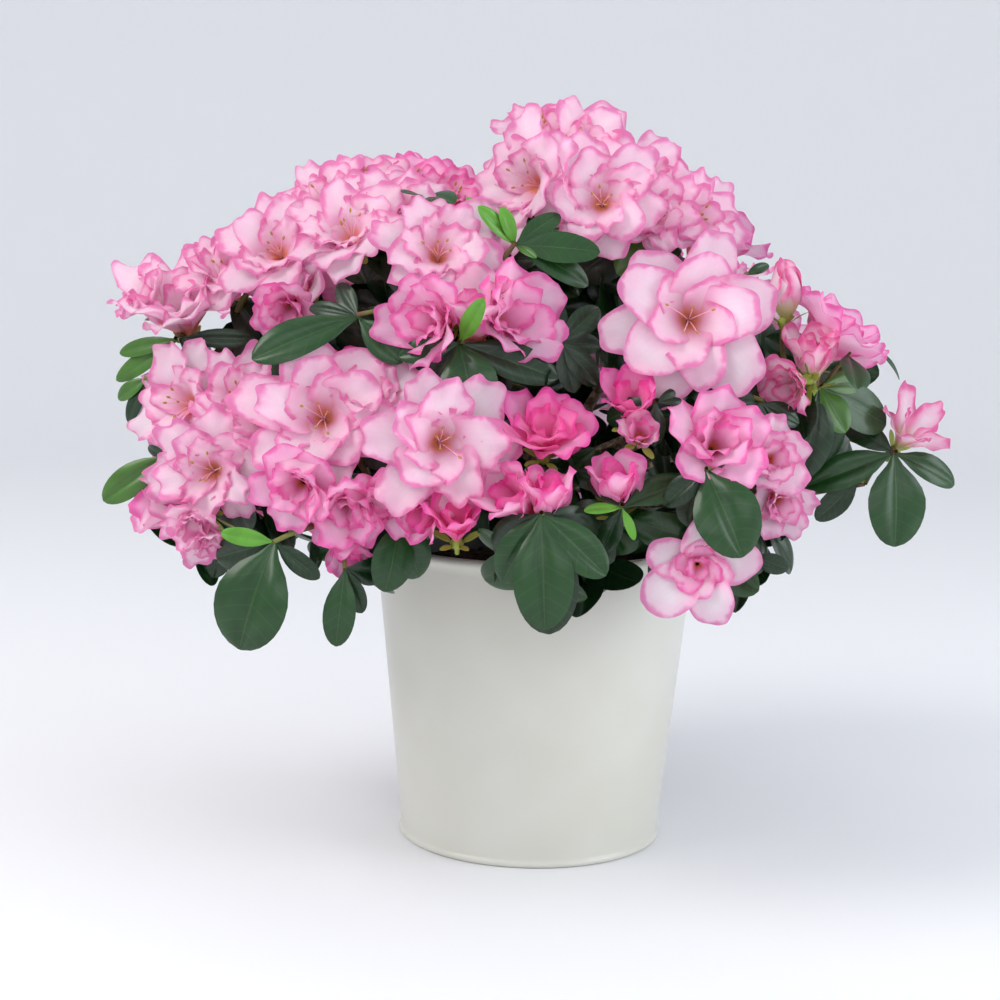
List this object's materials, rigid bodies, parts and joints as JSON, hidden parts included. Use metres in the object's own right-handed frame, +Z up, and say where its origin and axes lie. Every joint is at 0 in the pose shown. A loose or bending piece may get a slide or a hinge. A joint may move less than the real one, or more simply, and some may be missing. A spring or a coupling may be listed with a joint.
{
  "type": "potted azalea",
  "caption": "Low evergreen flowering shrub with a domed crown of double pink blooms and dark leaves, standing in a plain tapered metal pot.",
  "frame": {"origin": "middle of the pot's flat underside, on the surface it stands on", "axes": "+Z up along the pot's axis; -Y is the side that the fullest blooms face; +X is to the right seen from there"},
  "size_m": [0.3483, 0.3062, 0.315],
  "materials": {
    "enamelled_metal": "cream enamel, satin",
    "peat": "dark moist peat, crumbly",
    "bark": "thin grey-brown bark, matte",
    "foliage": "soft petals with deeper edges and satin dark green leaves"
  },
  "bodies": {
    "root": {"pot": "enamelled_metal", "soil": "peat", "main_stem": "bark", "top_right_bough": "bark", "top_right_mass": "foliage", "top_left_bough": "bark", "top_left_mass": "foliage", "left_high_bough": "bark", "left_high_mass": "foliage", "left_low_bough": "bark", "left_low_mass": "foliage", "front_left_bough": "bark", "front_left_mass": "foliage", "front_high_bough": "bark", "front_high_mass": "foliage", "front_low_bough": "bark", "front_low_mass": "foliage", "right_high_bough": "bark", "right_high_mass": "foliage", "right_bough": "bark", "right_mass": "foliage", "right_tip_bough": "bark", "right_tip_mass": "foliage", "right_low_bough": "bark", "right_low_mass": "foliage", "back_top_bough": "bark", "back_top_mass": "foliage", "back_left_high_bough": "bark", "back_left_high_mass": "foliage", "back_right_high_bough": "bark", "back_right_high_mass": "foliage", "back_bough": "bark", "back_mass": "foliage", "left_back_bough": "bark", "left_back_mass": "foliage", "right_back_bough": "bark", "right_back_mass": "foliage", "back_left_low_bough": "bark", "back_left_low_mass": "foliage", "back_right_low_bough": "bark", "back_right_low_mass": "foliage"}
  },
  "joints": []
}
